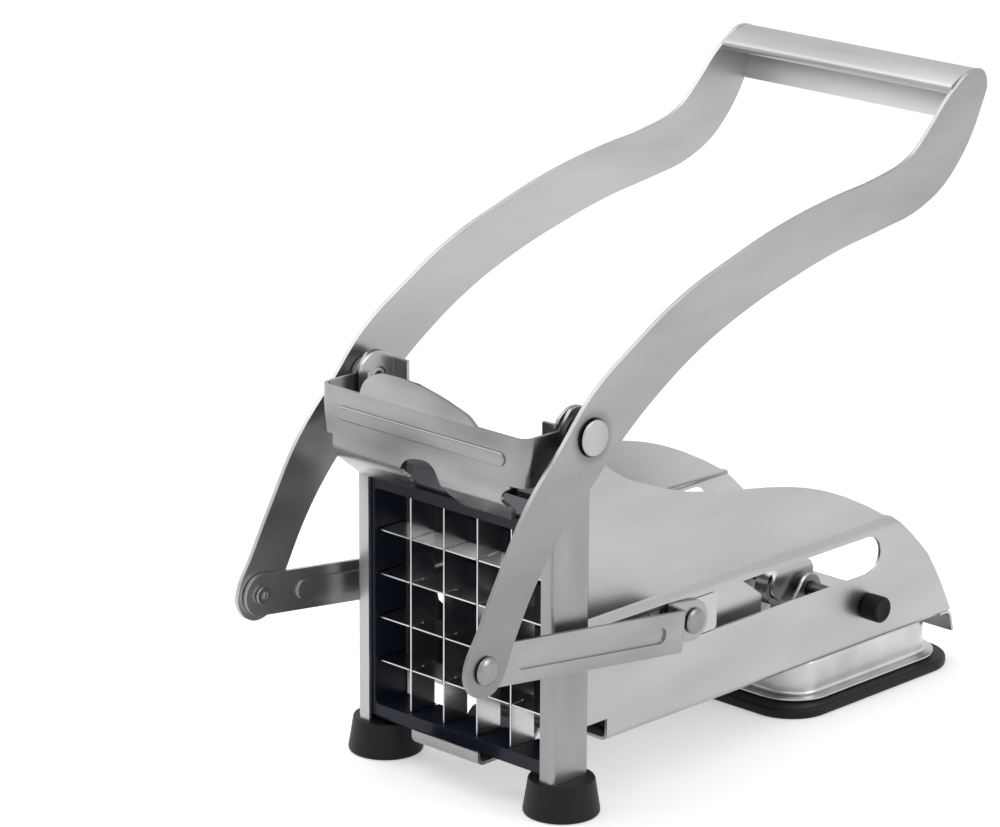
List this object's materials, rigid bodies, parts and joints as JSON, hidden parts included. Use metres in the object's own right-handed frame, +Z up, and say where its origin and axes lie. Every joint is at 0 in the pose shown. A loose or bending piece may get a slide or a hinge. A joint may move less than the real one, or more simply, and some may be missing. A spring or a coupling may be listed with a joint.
{
  "type": "french fry cutter",
  "caption": "Lever-operated potato chipper: a curved two-arm handle drives a pusher along a sheet-steel trough into a square cutting grid, on rubber feet and a suction base.",
  "frame": {"origin": "on the table under the middle of the machine's length and width", "axes": "+X to the side of the machine on which the picture's nearer arm lies, +Y from the cutting grid back to the handle's grip, +Z up"},
  "size_m": [0.1046, 0.2477, 0.2076],
  "materials": {
    "sheet_steel": "satin brushed stainless sheet with bright cut edges",
    "bright_steel": "smooth bright stainless rivets and screws",
    "blade_steel": "thin bright stainless blades",
    "black_rubber": "matt black rubber",
    "black_plastic": "moulded black plastic knobs",
    "dark_plastic": "moulded bluish-black plastic",
    "black_axle": "blackened steel axle"
  },
  "bodies": {
    "root": {"right_post": "sheet_steel", "left_post": "sheet_steel", "right_foot": "black_rubber", "left_foot": "black_rubber", "right_foot_screw": "bright_steel", "left_foot_screw": "bright_steel", "trough": "sheet_steel", "front_rest": "sheet_steel", "right_pivot_rivet": "bright_steel", "left_pivot_rivet": "bright_steel", "right_pivot_spacer": "bright_steel", "left_pivot_spacer": "bright_steel", "suction_pan": "sheet_steel", "suction_pad": "black_rubber", "cam_bracket": "sheet_steel", "pan_rivet_1": "bright_steel", "pan_rivet_2": "bright_steel", "pan_rivet_3": "bright_steel", "pan_rivet_4": "bright_steel"},
    "lever": {"right_arm": "sheet_steel", "left_arm": "sheet_steel", "right_arm_rivet": "bright_steel", "left_arm_rivet": "bright_steel", "grip": "sheet_steel"},
    "clamp": {"clamp_plate": "sheet_steel"},
    "grid": {"grid_frame": "dark_plastic", "vertical_blade_1": "blade_steel", "vertical_blade_2": "blade_steel", "vertical_blade_3": "blade_steel", "vertical_blade_4": "blade_steel", "horizontal_blade_1": "blade_steel", "horizontal_blade_2": "blade_steel", "horizontal_blade_3": "blade_steel", "horizontal_blade_4": "blade_steel"},
    "pusher": {"pusher_block": "dark_plastic", "carriage": "sheet_steel", "right_shoe": "sheet_steel", "left_shoe": "sheet_steel", "right_pusher_rivet": "bright_steel", "left_pusher_rivet": "bright_steel", "block_screw_1": "bright_steel", "block_screw_2": "bright_steel"},
    "right_link_body": {"right_link": "sheet_steel", "right_link_collar": "bright_steel"},
    "left_link_body": {"left_link": "sheet_steel", "left_link_collar": "bright_steel"},
    "suction_cam": {"cam_axle": "black_axle", "right_knob": "black_plastic", "left_knob": "black_plastic", "cam_lever": "sheet_steel"},
    "membrane": {"membrane_stud": "bright_steel", "suction_membrane": "black_rubber"}
  },
  "joints": [
    {"name": "lever_hinge", "type": "hinge", "parent": "root", "child": "lever", "pos_m": [0, -0.06979, 0.123], "axis": [1, 0, 0], "range_deg": [-15, 63]},
    {"name": "pusher_slide", "type": "slide", "parent": "root", "child": "pusher", "axis": [0, 1, 0], "range_m": [-0.0185, 0.0772]},
    {"name": "right_link_pivot", "type": "hinge", "parent": "pusher", "child": "right_link_body", "pos_m": [0.0394, -0.01139, 0.048], "axis": [1, 0, 0], "range_deg": [-1.6, 6.4]},
    {"name": "left_link_pivot", "type": "hinge", "parent": "pusher", "child": "left_link_body", "pos_m": [-0.0394, -0.01139, 0.048], "axis": [1, 0, 0], "range_deg": [-1.6, 6.4]},
    {"name": "clamp_hinge", "type": "hinge", "parent": "root", "child": "clamp", "pos_m": [0, -0.06979, 0.123], "axis": [1, 0, 0], "range_deg": [-40, 0]},
    {"name": "grid_lift", "type": "slide", "parent": "root", "child": "grid", "axis": [0, 0, 1], "range_m": [0, 0.085]},
    {"name": "suction_lever", "type": "hinge", "parent": "root", "child": "suction_cam", "pos_m": [0, 0.07621, 0.0308], "axis": [-1, 0, 0], "range_deg": [0, 90.1]},
    {"name": "membrane_slide", "type": "slide", "parent": "root", "child": "membrane", "axis": [0, 0, 1], "range_m": [0, 0.003]}
  ],
  "couplings": [
    {"joint": "pusher_slide", "follows": "lever_hinge", "m_per_rad": 0.0701},
    {"joint": "right_link_pivot", "follows": "lever_hinge", "ratio": 0.1},
    {"joint": "left_link_pivot", "follows": "lever_hinge", "ratio": 0.1},
    {"joint": "suction_lever", "follows": "membrane_slide", "rad_per_m": 523.6}
  ]
}
